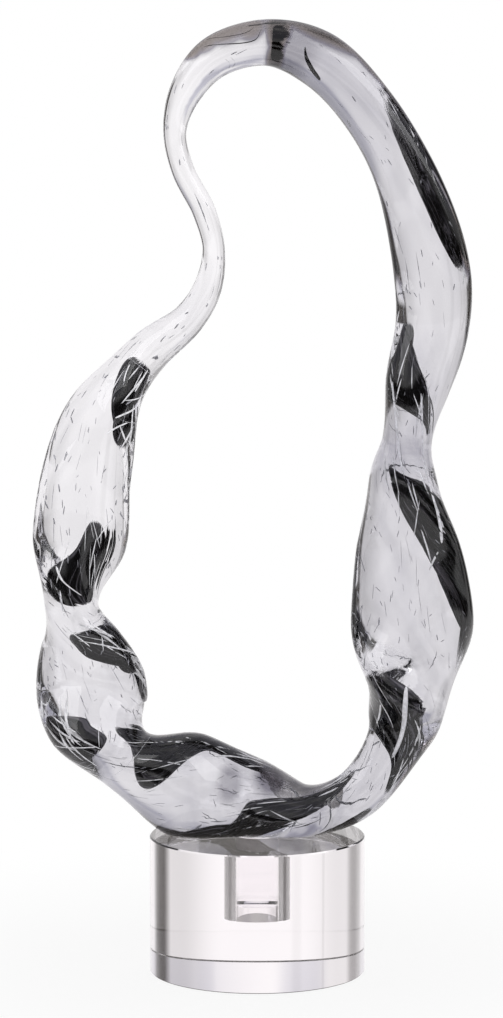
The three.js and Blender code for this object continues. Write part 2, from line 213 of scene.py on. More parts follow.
class LoopSettings(bpy.types.PropertyGroup):
    clear_tint: tint("Clear Tint", "Colour of the clear glass", "#fcfcfd")
    # Painted shade: the grey-lavender that the clear glass is dimmed towards.
    painted_dimming_tint: tint("Haze Tint", "Colour of the clear glass where it carries most haze", "#9f9eaa")
    black_tint: tint("Black Tint", "Colour of the black glass", "#0d0d0f")
    wisp_tint: tint("Wisp Tint", "Colour of the thin wisps in the black glass", "#77747a")
    # Painted shade in the skin, from its darkest through umber to its palest colour.
    dark_shade_tint: tint("Smoke Tint", "Colour of the thickest smoke in the skin of the loop", "#0d0a07")
    umber_shade_tint: tint("Umber Tint", "Colour of thinner smoke in the skin of the loop", "#5b524c")
    pale_shade_tint: tint("Veil Tint", "Colour of the thinnest smoke in the skin of the loop", "#67646f")
    seed_tint: tint("Bubble Tint", "Colour of the drawn out bubbles", "#b4b4ba")
    thread_tint: tint("Thread Tint", "Colour of the long air threads", "#f2f2f4")
    streak_depth: length("Streak Depth", "Glass over the middle of a streak", 6.3 * MM)
    streak_thickness: length("Streak Thickness", "Thickness of a streak at its middle", 2 * MM)
    seed_radius: length("Bubble Radius", "Largest radius of a drawn out bubble", 0.23 * MM)
    seed_length: length("Bubble Length", "Largest half length of a drawn out bubble", 6 * MM)
    seed_count: number("Bubbles", "How many places in the loop are tried for a bubble", 1700)
    hair_radius: length("Hair Radius", "Largest radius of a hair of black glass", 0.5 * MM)
    hair_count: number("Black Hairs", "How many places in one station of a streak are tried for a hair", 60)
    thread_radius: length("Thread Radius", "Largest radius of an air thread", 0.34 * MM)
    thread_length: length("Thread Length", "Largest half length of an air thread", 12 * MM)
    thread_count: number("Air Threads", "How many long bubbles lie over the streaks", 210)


class BaseSettings(bpy.types.PropertyGroup):
    crystal_tint: tint("Crystal Tint", "Colour of the crystal base", "#fdfafb")
    diameter: length("Diameter", "Diameter of the base", size("crystal_base", 0))
    height: length("Height", "Height of the base", size("crystal_base", 2))
    # Also the colour of the painted grey reflection on the socket wall.
    ground_and_reflection_tint: tint("Ground Tint", "Colour of the ground glass at the foot and in the socket", "#7a7775")
    edge_bevel: length("Edge Bevel", "Polished bevel on the upper rim of the base", 0.6 * MM)
    foot_bevel: length("Foot Bevel", "Ground bevel on the lower rim of the base", 0.4 * MM)
    socket_radius: length("Socket Radius", "Radius of the drilled socket", 10 * MM)
    socket_bevel: length("Socket Bevel", "Bevel at the mouth of the socket", 0.6 * MM)
    socket_floor: length("Socket Floor", "Height of the floor of the socket", 27.5 * MM)
    peg_bevel: length("Peg Bevel", "Bevel at the end of the peg", 0.8 * MM)


class StageSettings(bpy.types.PropertyGroup):
    floor_tint: tint("Floor Tint", "Colour of the floor", "#ececec")
    shade_tint: tint("Shade Tint", "Colour of the floor right under the base", "#8f8d8a")
    tent_tint: tint("Tent Tint", "Colour of the light tent that the glass shows", "#fffdfe")
    dusk_tint: tint("Dusk Tint", "Colour of the tent's panels away from the lamps", "#c6c5d0")
    seam_tint: tint("Seam Tint", "Colour of the dark seams of the tent", "#38332f")
    lamp_power: FloatProperty(
        name="Lamp Power", description="Power of the key lamp", default=10, min=0, unit="POWER")


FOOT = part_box("clear_casing")[0].z
COUNT = len(BAND) + len(TAIL)
CENTRES = [Vector((row[0], row[2], row[1])) * MM + Vector((0, 0, FOOT)) for row in BAND + TAIL]
CLOSING = (BAND[0][5] + 360 * TURNS - BAND[-1][5]) / (len(TAIL) + 1)  # degrees of twist in a row of the tail
SECTIONS = [Vector((row[3] * MM, row[4] * MM, math.radians(row[5]))) for row in BAND]
SECTIONS += [Vector((row[3] * MM, row[3] * MM, math.radians(BAND[-1][5] + CLOSING * step)))
             for step, row in enumerate(TAIL, 1)]


def hermite(start, end, leave, arrive, share):
    """Value at a share of the way from start to end, with the slopes on leaving and arriving."""
    cubic = 2 * start - 2 * end + leave + arrive
    square = 3 * end - 3 * start - 2 * leave - arrive
    return ((cubic * share + square) * share + leave) * share + start


def centre_at(place):
    """Point of the loop's centre line at a place counted in stations."""
    first = math.floor(place)
    p0, p1, p2, p3 = (CENTRES[(first + k) % COUNT] for k in (-1, 0, 1, 2))
    d0, d1, d2 = (math.sqrt((b - a).length) for a, b in ((p0, p1), (p1, p2), (p2, p3)))
    leave = ((p1 - p0) / d0 - (p2 - p0) / (d0 + d1) + (p2 - p1) / d1) * d1
    arrive = ((p2 - p1) / d1 - (p3 - p1) / (d1 + d2) + (p3 - p2) / d2) * d1
    return hermite(p1, p2, leave, arrive, place - first)


def shape_at(place):
    """Half width, half thickness and twist of the section at a place."""
    first = math.floor(place)
    lap = Vector((0, 0, 2 * math.pi * TURNS))
    s0, s1, s2, s3 = (SECTIONS[i % COUNT] + lap * (i // COUNT) for i in range(first - 1, first + 3))
    return hermite(s1, s2, (s2 - s0) / 2, (s3 - s1) / 2, place - first)


class Section:
    """The loop's section at a place: its centre, its axes to the outer side and the front, and its shape."""

    def __init__(self, place):
        self.centre = centre_at(place)
        heading = (centre_at(place + HEADING_STEP) - centre_at(place - HEADING_STEP)).normalized()
        front = Vector((0, -1, 0))
        self.front = (front - heading * front.dot(heading)).normalized()
        self.outward = heading.cross(self.front)
        self.width, self.thickness, self.twist = shape_at(place)

    def point(self, u, v):
        """Point at u along the broad axis of the section and v along its narrow one."""
        turned = complex(u, v) * complex(math.cos(self.twist), math.sin(self.twist))
        return self.centre + self.outward * turned.real + self.front * turned.imag

    def skin(self, angle, inset=0.0):
        """Point of the skin at an angle that turns with the twist."""
        return self.point((self.width - inset) * math.cos(angle), (self.thickness - inset) * math.sin(angle))

    def direction(self, angle):
        """Direction, from the outer side, of the skin at an angle that turns with the twist."""
        return self.twist + math.atan2(self.thickness * math.sin(angle), self.width * math.cos(angle))

    def towards(self, direction, inset=0.0):
        """Point of the skin in a direction that does not turn with the twist."""
        width, thickness = self.width - inset, self.thickness - inset
        lean = direction - self.twist
        reach = width * thickness / math.hypot(thickness * math.cos(lean), width * math.sin(lean))
        return self.point(reach * math.cos(lean), reach * math.sin(lean))


def along(rows, place):
    """Share at a place, from rows of places and shares."""
    at = next(i for i in range(1, len(rows)) if place <= rows[i][0])
    (before, low), (after, high) = rows[at - 1], rows[at]
    return low + (high - low) * (place - before) / (after - before)


def painted_shade_at(place, direction):
    """Share of painted shade in the skin at a place and direction."""
    most = 0.0
    for middle, facing, reach, spread, share in PAINTED_SHADE:
        turn = (math.degrees(direction) - facing + 180) % 360 - 180
        near = min(1, PAINTED_SHADE_EDGE - PAINTED_SHADE_EDGE * math.hypot((place - middle) / reach, turn / spread))
        if near > 0:
            most = max(most, share * near * near * (3 - 2 * near))
    return 1 - (1 - most) ** 2


def speed_at(place):
    """Metres of centre line in one station."""
    return (centre_at(place + SPEED_STEP) - centre_at(place - SPEED_STEP)).length / (2 * SPEED_STEP)


def edges_at(rows, place):
    """Where a streak starts and ends round the section at a place, on smooth curves through its rows."""
    last = len(rows) - 2
    at = next((i for i in range(last) if place <= rows[i + 1][0]), last)
    run = rows[at + 1][0] - rows[at][0]

    def slope(i, k):
        before, after = rows[max(i - 1, 0)], rows[min(i + 1, len(rows) - 1)]
        return (after[k] - before[k]) / (after[0] - before[0]) * run

    share = (place - rows[at][0]) / run
    return [math.radians(hermite(rows[at][k], rows[at + 1][k], slope(at, k), slope(at + 1, k), share))
            for k in (1, 2)]


def grid_spots(bm, rows):
    """Row and angle of each vertex of a flat grid that is to be wrapped round."""
    return {vert: (round((vert.co.y + 1) / 2 * rows), (vert.co.x + 1) * math.pi) for vert in bm.verts}


def add_node(tree, kind, settings=None, links=None):
    """Adds a shader node with its settings, by property or socket, and the sockets or nodes that feed it."""
    node = tree.nodes.new("ShaderNode" + kind)
    for key, value in (settings or {}).items():
        if isinstance(key, str) and hasattr(node, key):
            setattr(node, key, value)
        else:
            node.inputs[key].default_value = value
    for key, source in (links or {}).items():
        socket = source.outputs[0] if isinstance(source, bpy.types.Node) else source
        tree.links.new(socket, node.inputs[key])
    return node


def new_material(name, constants):
    """A new material, its node tree and its shader, with constants on the shader's own sockets."""
    material = bpy.data.materials.new(name)
    material.use_nodes = True
    tree = material.node_tree
    shader = tree.nodes["Principled BSDF"]
    for socket, value in constants.items():
        shader.inputs[socket].default_value = value
    return material, tree, shader


def finish_piece(bm, name, material, body, replaces=(), sharp=40):
    """Makes a piece of the mesh, smooth but for edges sharper than an angle, hangs it under its body if it
    has one, and hides the CAD parts that it replaces.
    """
    mesh = bpy.data.meshes.new(name)
    bm.to_mesh(mesh)
    bm.free()
    mesh.shade_smooth()
    mesh.set_sharp_from_angle(angle=math.radians(sharp))
    mesh.materials.append(material)
    piece = bpy.data.objects.new(name, mesh)
    bpy.context.scene.collection.objects.link(piece)
    if body:
        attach(piece, body)
    if replaces:
        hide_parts(*replaces)
    return piece


def let_lamps_through(tree, shader):
    """Glass throws a light shadow, so shadow rays go straight through it."""
    path = add_node(tree, "LightPath")
    through = add_node(tree, "BsdfTransparent")
    mix = add_node(tree, "MixShader", None, {0: path.outputs["Is Shadow Ray"], 1: shader, 2: through})
    tree.links.new(mix.outputs[0], tree.nodes["Material Output"].inputs["Surface"])


def drawn_clear_glass(settings):
    """Hand drawn soda-lime glass, fire polished: clear and glossy, with faint cords along the way it was
    pulled, and painted shade in its colour: a grey-lavender dimming that comes and goes, and dark and umber
    patches in the skin, some where black glass comes near it."""
    material, tree, shader = new_material("drawn_clear_glass", {
        "Transmission Weight": 1, "IOR": GLASS_IOR, "Roughness": 0})
    # Cords lie about 5 mm apart across the pull and run on for about 60 mm.
    flow = add_node(tree, "UVMap", {"uv_map": "flow"})
    stretch = add_node(tree, "Mapping", {"Scale": (1 / 0.060, 1 / 0.005, 1)}, {"Vector": flow})
    cords = add_node(tree, "TexNoise", {"Scale": 1, "Detail": 1}, {"Vector": stretch})
    bump = add_node(tree, "Bump", {"Strength": 0.3, "Distance": 0.4 * MM}, {"Height": cords})
    tree.links.new(bump.outputs[0], shader.inputs["Normal"])
    # The painted grey-lavender shade lies in streaks about 12 mm apart and 90 mm long.
    drift = add_node(tree, "Mapping", {"Scale": (1 / 0.090, 1 / 0.012, 1)}, {"Vector": flow})
    dimming_streaks = add_node(tree, "TexNoise", {"Scale": 1, "Detail": 2}, {"Vector": drift})
    contrast = add_node(tree, "MapRange", {
        "From Min": 0.3, "From Max": 0.7, "To Min": 0.65, "To Max": 1.35}, {"Value": dimming_streaks})
    share = add_node(tree, "Attribute", {"attribute_name": "dimming"}).outputs["Fac"]
    amount = add_node(tree, "Math", {"operation": "MULTIPLY", "use_clamp": True}, {0: contrast, 1: share})
    colour = add_node(tree, "Mix", {
        "data_type": "RGBA", MIX_A: (*settings.clear_tint, 1), MIX_B: (*settings.painted_dimming_tint, 1)}, {0: amount})
    # The painted dark shade lies in finer streaks, as far apart as the cords.
    trails = add_node(tree, "MapRange", {
        "From Min": 0.3, "From Max": 0.6, "To Min": 0.94, "To Max": 1}, {"Value": cords})
    black = add_node(tree, "Attribute", {"attribute_name": "greyness"}).outputs["Fac"]
    greyness = add_node(tree, "Math", {"operation": "MULTIPLY"}, {0: trails, 1: black})
    density = add_node(tree, "ValToRGB", None, {"Fac": greyness})
    stops = density.color_ramp.elements
    stops[0].color = (1, 1, 1, 1)
    stops[1].color = (*settings.dark_shade_tint, 1)
    stops.new(0.45).color = (*settings.pale_shade_tint, 1)
    stops.new(0.85).color = (*settings.umber_shade_tint, 1)
    shade = add_node(tree, "Mix", {"data_type": "RGBA", "blend_type": "MULTIPLY", 0: 1}, {
        MIX_A: colour.outputs[MIXED], MIX_B: density})
    tree.links.new(shade.outputs[MIXED], shader.inputs["Base Color"])
    let_lamps_through(tree, shader)
    return material


def polished_crystal(name, colour, ior):
    """Glass or crystal, ground and polished: colourless and bright, with faint ripples left by the wheel."""
    material, tree, shader = new_material(name, {
        "Base Color": (*colour, 1), "Transmission Weight": 1, "IOR": ior, "Roughness": 0})
    # Ripples about 12 mm apart.
    place = add_node(tree, "TexCoord").outputs["Object"]
    ripple = add_node(tree, "TexNoise", {"Scale": 1 / 0.012, "Detail": 0}, {"Vector": place})
    bump = add_node(tree, "Bump", {"Strength": 0.04, "Distance": 0.1 * MM}, {"Height": ripple})
    tree.links.new(bump.outputs[0], shader.inputs["Normal"])
    let_lamps_through(tree, shader)
    return material


def grind_foot_paint_socket_reflection(material, base):
    """Leaves the bevel round the foot of the crystal ground, a thin grey line to the eye, and the wall of its
    drilled socket finely ground, clear when seen straight on, with a painted grey reflection where it would
    mirror the dark room."""
    tree = material.node_tree
    shader = tree.nodes["Principled BSDF"]
    place = add_node(tree, "TexCoord").outputs["Object"]
    height = add_node(tree, "SeparateXYZ", None, {0: place}).outputs["Z"]
    flat = add_node(tree, "VectorMath", {"operation": "MULTIPLY", 1: (1, 1, 0)}, {0: place})
    away = add_node(tree, "VectorMath", {"operation": "LENGTH"}, {0: flat}).outputs["Value"]
    skim = 0.1 * MM
    tests = [
        add_node(tree, "Math", {"operation": test, 1: limit}, {0: value})
        for value, test, limit in (
            (height, "GREATER_THAN", skim / 10),
            (height, "LESS_THAN", base.foot_bevel),
            (height, "GREATER_THAN", base.socket_floor + skim),
            (height, "LESS_THAN", base.height - base.socket_bevel),
            (away, "LESS_THAN", base.socket_radius + skim),
        )
    ]
    bevel = add_node(tree, "Math", {"operation": "MULTIPLY"}, {0: tests[0], 1: tests[1]})
    # Painted reflection: the socket wall turns grey and less clear where the Fresnel share is high, for the
    # dark room it would mirror.
    mirror = add_node(tree, "Fresnel", {"IOR": CRYSTAL_IOR})
    wall = add_node(tree, "MapRange", {"From Min": 0.8, "From Max": 1, "To Max": 0.8}, {"Value": mirror})
    for test in tests[2:]:
        wall = add_node(tree, "Math", {"operation": "MULTIPLY"}, {0: wall, 1: test})
    ground = add_node(tree, "Math", {"operation": "MAXIMUM"}, {0: bevel, 1: wall})
    clear = add_node(tree, "Math", {"operation": "SUBTRACT", 0: 1}, {1: ground})
    colour = add_node(tree, "Mix", {
        "data_type": "RGBA", MIX_A: (*base.crystal_tint, 1), MIX_B: (*base.ground_and_reflection_tint, 1)}, {0: ground})
    tree.links.new(clear.outputs[0], shader.inputs["Transmission Weight"])
    tree.links.new(colour.outputs[MIXED], shader.inputs["Base Color"])


def drawn_black_glass(settings):
    """Black glass drawn out into the clear: near black, with thin brown-grey wisps along the pull."""
    # Clear glass lies against it all round, so its own face hardly shines.
    material, tree, shader = new_material("drawn_black_glass", {"Specular IOR Level": 0.1, "Roughness": 0.15})
    # Wisps 40 mm long, about 14 of them across a streak. The black thins out and tears at its rim.
    flow = add_node(tree, "UVMap", {"uv_map": "flow"})
    stretch = add_node(tree, "Mapping", {"Scale": (1 / 0.040, 14, 1)}, {"Vector": flow})
    wisps = add_node(tree, "TexNoise", {"Scale": 1, "Detail": 3}, {"Vector": stretch})
    rim = add_node(tree, "Attribute", {"attribute_name": "rim"}).outputs["Fac"]
    thin = add_node(tree, "MapRange", {"From Min": 0.5, "From Max": 1, "To Max": 0.1}, {"Value": rim})
    greyness = add_node(tree, "Math", {"operation": "ADD"}, {0: wisps, 1: thin})
    colours = add_node(tree, "ValToRGB", None, {"Fac": greyness})
    stops = colours.color_ramp.elements
    stops[0].position, stops[0].color = 0.56, (*settings.black_tint, 1)
    stops[1].position, stops[1].color = 0.82, (*settings.wisp_tint, 1)
    tree.links.new(colours.outputs[0], shader.inputs["Base Color"])
    tears = add_node(tree, "MapRange", {"From Min": 0.75, "From Max": 1, "To Max": 0.75}, {"Value": rim})
    left = add_node(tree, "Math", {"operation": "SUBTRACT"}, {0: wisps, 1: tears})
    solid = add_node(tree, "MapRange", {"From Min": -0.12, "From Max": 0.02}, {"Value": left})
    gone = add_node(tree, "BsdfTransparent")
    mix = add_node(tree, "MixShader", None, {0: solid, 1: gone, 2: shader})
    tree.links.new(mix.outputs[0], tree.nodes["Material Output"].inputs["Surface"])
    return material


def drawn_thread(name, colour, painted_glow=0.0):
    """A thread drawn out inside the glass. The wall of a bubble is pale and silky, black glass near black. A
    painted glow can brighten a thread.
    """
    material, tree, shader = new_material(name, {"Emission Strength": painted_glow, "Roughness": 0.35})
    # Bright and dim stretches about 2 mm long, in colour and in painted glow, the dim ones with 0.7 of the
    # light.
    place = add_node(tree, "TexCoord").outputs["Object"]
    patches = add_node(tree, "TexNoise", {"Scale": 1 / 0.002, "Detail": 1}, {"Vector": place})
    colours = add_node(tree, "ValToRGB", None, {"Fac": patches})
    stops = colours.color_ramp.elements
    stops[0].position, stops[0].color = 0.35, (*[c * 0.7 for c in colour], 1)
    stops[1].position, stops[1].color = 0.65, (*colour, 1)
    tree.links.new(colours.outputs[0], shader.inputs["Base Color"])
    tree.links.new(colours.outputs[0], shader.inputs["Emission Color"])
    return material


class GLASSLOOP_OT_clear_loop(bpy.types.Operator):
    """The clear glass of the loop, from head to tail, with its underside ground flat"""
    bl_idname = "glassloop.clear_loop"
    bl_label = "Clear Loop"

    ROWS = 640  # along the loop
    SIDES = 72
    INSET = 0.55 * MM  # keeps the round skin inside the facets of the CAD solid

    def execute(self, context):
        bm = bmesh.new()
        flow = bm.loops.layers.uv.new("flow")
        dimming, greyness = (bm.verts.layers.float.new(name) for name in ("dimming", "greyness"))
        bmesh.ops.create_grid(bm, x_segments=self.SIDES, y_segments=self.ROWS, size=1)
        sections = [Section(COUNT * row / self.ROWS) for row in range(self.ROWS)]
        run = [0.0]
        for row in range(self.ROWS):
            run.append(run[-1] + speed_at(COUNT * row / self.ROWS) * COUNT / self.ROWS)
        spot = grid_spots(bm, self.ROWS)
        for face in bm.faces:
            for loop in face.loops:
                row, angle = spot[loop.vert]
                section = sections[row % self.ROWS]
                loop[flow].uv = (run[row], angle * (section.width + section.thickness) / 2)
        for vert, (row, angle) in spot.items():
            section, place = sections[row % self.ROWS], COUNT * row / self.ROWS
            vert.co = section.skin(angle, self.INSET)
            # Painted shade, kept on the vertices: the grey-lavender dimming along the loop and the dark
            # patches in the skin.
            vert[dimming] = along(PAINTED_DIMMING, place)
            vert[greyness] = painted_shade_at(place, section.direction(angle))
        bmesh.ops.remove_doubles(bm, verts=bm.verts, dist=WELD)
        bmesh.ops.recalc_face_normals(bm, faces=bm.faces)
        geom = bm.verts[:] + bm.edges[:] + bm.faces[:]
        bmesh.ops.bisect_plane(bm, geom=geom, plane_co=(0, 0, FOOT), plane_no=(0, 0, -1), clear_outer=True)
        bmesh.ops.holes_fill(bm, edges=[edge for edge in bm.edges if edge.is_boundary], sides=0)
        material = drawn_clear_glass(context.scene.glass_loop)
        nodes = ("clear_casing", "clear_tail", "clear_core")
        finish_piece(bm, "clear_loop", material, "loop", nodes)
        return {"FINISHED"}


class GLASSLOOP_OT_black_streaks(bpy.types.Operator):
    """The black glass streaks inside the loop"""
    bl_idname = "glassloop.black_streaks"
    bl_label = "Black Streaks"

    STEPS = 12  # along, for each row of a streak
    SIDES = 28
    BLUNT = 6  # the higher, the blunter the ends of a streak
    # How far a streak thins out halfway, and how much more at its end than there.
    FADES = {"crown": (0.88, -0.15), "shoulder": (0.8, 0.2), "right_middle": (0.62, -0.38)}

    def execute(self, context):
        settings = context.scene.glass_loop
        material = drawn_black_glass(settings)
        for name, rows in STREAKS.items():
            count = self.STEPS * len(rows)
            bm = bmesh.new()
            flow = bm.loops.layers.uv.new("flow")
            rim = bm.verts.layers.float.new("rim")
            bmesh.ops.create_grid(bm, x_segments=self.SIDES, y_segments=count, size=1)
            spot = grid_spots(bm, count)
            stops = [rows[0][0] + (rows[-1][0] - rows[0][0]) * step / count for step in range(count + 1)]
            sections = [Section(place) for place in stops]
            for face in bm.faces:
                for loop in face.loops:
                    step, angle = spot[loop.vert]
                    loop[flow].uv = (stops[step] * speed_at(stops[step]), (1 + math.cos(angle)) / 2)
            for vert, (step, angle) in spot.items():
                start, end = edges_at(rows, stops[step])
                share = 2 * step / count - 1
                taper = math.sqrt(max(0.0, 1 - share ** self.BLUNT))
                direction = (start + end) / 2 + (end - start) / 2 * math.cos(angle) * taper
                depth = settings.streak_depth - settings.streak_thickness / 2 * math.sin(angle) * taper
                vert.co = sections[step].towards(direction, depth)
                halfway, onward = self.FADES.get(name, (0, 0))
                vert[rim] = max(abs(math.cos(angle)), abs(share), halfway + onward * share)
            bmesh.ops.remove_doubles(bm, verts=bm.verts, dist=10 * WELD)
            bmesh.ops.recalc_face_normals(bm, faces=bm.faces)
            nodes = ("black_streak_" + name,)
            finish_piece(bm, "streak_" + name, material, "loop", nodes, sharp=60)
        return {"FINISHED"}


def lift_off_foot(bm, verts):
    """Raises a bubble or hair that would come through the ground foot of the loop."""
    lack = FOOT + FOOT_COVER - min(vert.co.z for vert in verts)
    if lack > 0:
        bmesh.ops.translate(bm, verts=verts, vec=(0, 0, lack))


def drawn_bubble(bm, place, direction, depth, half_length, radius, drift):
    """A bubble stretched along the pull, which follows part of the twist, with a few faces only."""
    speed, twist = speed_at(place), Section(place).twist
    verts = bmesh.ops.create_icosphere(bm, subdivisions=1, radius=1)["verts"]
    for vert in verts:
        x, y, z = vert.co
        section = Section(place + x * half_length / speed)
        reach = max(LEAST_REACH, (section.width + section.thickness) / 2 - depth)
        turned = direction + PULL * (section.twist - twist) + drift * x
        vert.co = section.towards(turned + y * radius / reach, depth + z * radius)
    lift_off_foot(bm, verts)


def drawn_line(bm, points, depth, radius, steps, sides):
    """A thin line of air or black glass that runs smoothly through places and directions."""
    last = len(points) - 1
    verts = bmesh.ops.create_grid(bm, x_segments=sides, y_segments=steps, size=1)["verts"]
    for vert in verts:
        share, angle = (vert.co.y + 1) / 2, (vert.co.x + 1) * math.pi
        at = min(int(share * last), last - 1)
        p0, p1, p2, p3 = (Vector(points[min(max(at + k, 0), last)]) for k in (-1, 0, 1, 2))
        place, facing = hermite(p1, p2, (p2 - p0) / 2, (p3 - p1) / 2, share * last - at)
        section, direction = Section(place), math.radians(facing)
        thick = radius * math.sqrt(max(0.0, 1 - (2 * share - 1) ** 4))
        spread = math.cos(angle) * thick / max(LEAST_REACH, section.thickness - depth)
        vert.co = section.towards(direction + spread, depth + math.sin(angle) * thick)
    lift_off_foot(bm, verts)


class GLASSLOOP_OT_seed_bubbles(bpy.types.Operator):
    """The drawn out seed bubbles all through the loop"""
    bl_idname = "glassloop.seed_bubbles"
    bl_label = "Seed Bubbles"

    DEPTHS = (1, 5)  # mm under the skin
    LENGTHS = (0.12, 0.4)  # shares of the largest half length
    RADII = (0.5, 1)  # shares of the largest radius
    DRIFTS = (-0.06, 0.06)  # radians across the pull, from the middle to an end
    HAIRS = 0.25  # share of the bubbles that are drawn out into hairs
    HAIR_LENGTH, HAIR_RADIUS = 4, 0.45  # of such a hair, against the bubble

    def execute(self, context):
        settings = context.scene.glass_loop
        random.seed(5)
        bm = bmesh.new()
        for _ in range(settings.seed_count):
            place = random.uniform(0, COUNT)
            direction = Section(place).direction(random.uniform(0, 2 * math.pi))
            depth = random.uniform(*self.DEPTHS) * MM
            half_length = random.uniform(*self.LENGTHS) * settings.seed_length
            radius = random.uniform(*self.RADII) * settings.seed_radius
            drift = random.uniform(*self.DRIFTS)
            if random.random() < self.HAIRS:
                half_length, radius = half_length * self.HAIR_LENGTH, radius * self.HAIR_RADIUS
            if random.random() < along(SEEDING, place):
                drawn_bubble(bm, place, direction, depth, half_length, radius, drift)
        # Depth counts inwards, which leaves the faces of bubbles and lines inside out until here.
        bmesh.ops.reverse_faces(bm, faces=bm.faces)
        # The bubbles glow faintly, which is painted light.
        material = drawn_thread("trapped_air", settings.seed_tint, painted_glow=0.1)
        finish_piece(bm, "seed_bubbles", material, "loop", sharp=180)
        return {"FINISHED"}


class GLASSLOOP_OT_black_hairs(bpy.types.Operator):
    """The hairs of black glass over the streaks, at the sides of the loop, and the dark lines of the crown"""
    bl_idname = "glassloop.black_hairs"
    bl_label = "Black Hairs"

    STOPS = 5  # places that a hair runs through
    SIDES = 30  # degrees from the outer and inner side
    STARTS = (0.04, 0.5)  # shares of a streak's length where a hair starts
    RUNS = (0.25, 0.46)  # shares of a streak's length that a hair runs on for
    ACROSS = (0.02, 0.98)  # shares of a streak's width
    DEPTHS = (1.2, 4)  # mm under the skin
    RADII = (0.4, 1)  # shares of the largest radius
    LINE_DEPTH = 2 * MM

    def execute(self, context):
        settings = context.scene.glass_loop
        random.seed(3)
        bm = bmesh.new()
        for name, rows in STREAKS.items():
            run = rows[-1][0] - rows[0][0]
            for _ in range(round(settings.hair_count * run)):
                first = random.uniform(*self.STARTS)
                last = first + random.uniform(*self.RUNS)
                across = random.uniform(*self.ACROSS)
                points = []
                for stop in range(self.STOPS):
                    place = rows[0][0] + run * (first + (last - first) * stop / (self.STOPS - 1))
                    start, end = edges_at(rows, place)
                    points.append((place, math.degrees(start + (end - start) * across)))
                depth = random.uniform(*self.DEPTHS) * MM
                radius = random.uniform(*self.RADII) * settings.hair_radius
                facing = points[self.STOPS // 2][1]
                if name != "crown" and min(abs(facing), abs(facing - 180)) < self.SIDES:
                    drawn_line(bm, points, depth, radius, steps=8, sides=4)
        for radius, *points in DARK_LINES:
            drawn_line(bm, points, self.LINE_DEPTH, radius * MM, steps=20, sides=4)
        bmesh.ops.remove_doubles(bm, verts=bm.verts, dist=WELD)
        bmesh.ops.reverse_faces(bm, faces=bm.faces)
        material = drawn_thread("black_glass_hair", settings.black_tint)
        finish_piece(bm, "black_hairs", material, "loop", sharp=180)
        return {"FINISHED"}


class GLASSLOOP_OT_air_threads(bpy.types.Operator):
    """The long air threads that cross over the streaks, bright with a painted glow"""
    bl_idname = "glassloop.air_threads"
    bl_label = "Air Threads"

    LENGTHS = (0.35, 1)  # shares of the largest half length
    RADII = (0.35, 1)  # shares of the largest radius
    DEPTHS = (2.5, 4.6)  # mm under the skin
    DRIFTS = (-0.25, 0.25)  # radians across the pull, from the middle to an end
    COVER = 1.4 * MM  # of clear glass over the long air lines

    def execute(self, context):
        settings = context.scene.glass_loop
        random.seed(11)
        bm = bmesh.new()
        crossed = [rows for name, rows in STREAKS.items() if name != "crown"]
        for _ in range(settings.thread_count):
            rows = random.choice(crossed)
            place = random.uniform(rows[0][0], rows[-1][0])
            direction = random.uniform(*edges_at(rows, place))
            half_length = random.uniform(*self.LENGTHS) * settings.thread_length
            radius = random.uniform(*self.RADII) * settings.thread_radius
            depth = random.uniform(*self.DEPTHS) * MM
            drift = random.uniform(*self.DRIFTS)
            drawn_bubble(bm, place, direction, depth, half_length, radius, drift)
        for radius, *points in AIR_LINES:
            drawn_line(bm, points, self.COVER + radius * MM, radius * MM, steps=32, sides=6)
        bmesh.ops.remove_doubles(bm, verts=bm.verts, dist=WELD)
        bmesh.ops.reverse_faces(bm, faces=bm.faces)
        # The threads glow, which is painted light.
        material = drawn_thread("bright_air", settings.thread_tint, painted_glow=0.4)
        finish_piece(bm, "air_threads", material, "loop", sharp=180)
        return {"FINISHED"}


def spun(profile):
    """A profile of radius and height turned once round the upright axis."""
    bm = bmesh.new()
    verts = [bm.verts.new((radius, 0, height)) for radius, height in profile]
    edges = [bm.edges.new(pair) for pair in zip(verts, verts[1:])]
    bmesh.ops.spin(
        bm, geom=verts + edges, cent=(0, 0, 0), axis=(0, 0, 1), angle=2 * math.pi, steps=SPIN_STEPS,
        use_merge=True)
    bmesh.ops.remove_doubles(bm, verts=bm.verts, dist=WELD)
    bmesh.ops.recalc_face_normals(bm, faces=bm.faces)
    return bm


class GLASSLOOP_OT_crystal_base(bpy.types.Operator):
    """The round crystal base with its drilled socket"""
    bl_idname = "glassloop.crystal_base"
    bl_label = "Crystal Base"

    def execute(self, context):
        base = context.scene.glass_base
        radius, height, bevel, foot = base.diameter / 2, base.height, base.edge_bevel, base.foot_bevel
        socket, mouth, floor = base.socket_radius, base.socket_bevel, base.socket_floor
        bm = spun((
            (0, 0), (radius - foot, 0), (radius, foot), (radius, height - bevel), (radius - bevel, height),
            (socket + mouth, height), (socket, height - mouth), (socket, floor), (0, floor),
        ))
        material = polished_crystal("polished_crystal", base.crystal_tint, CRYSTAL_IOR)
        grind_foot_paint_socket_reflection(material, base)
        finish_piece(bm, "crystal_block", material, "base", ("crystal_base",), sharp=30)
        return {"FINISHED"}


class GLASSLOOP_OT_clear_peg(bpy.types.Operator):
    """The clear peg bonded under the loop"""
    bl_idname = "glassloop.clear_peg"
    bl_label = "Clear Peg"

    def execute(self, context):
        low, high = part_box("clear_peg")
        bevel = context.scene.glass_base.peg_bevel
        radius = (high.x - low.x) / 2
        bm = spun((
            (0, low.z), (radius - bevel, low.z), (radius, low.z + bevel), (radius, high.z), (0, high.z),
        ))
        material = polished_crystal("turned_clear_glass", context.scene.glass_loop.clear_tint, GLASS_IOR)
        finish_piece(bm, "peg", material, "peg", ("clear_peg",), sharp=30)
        return {"FINISHED"}


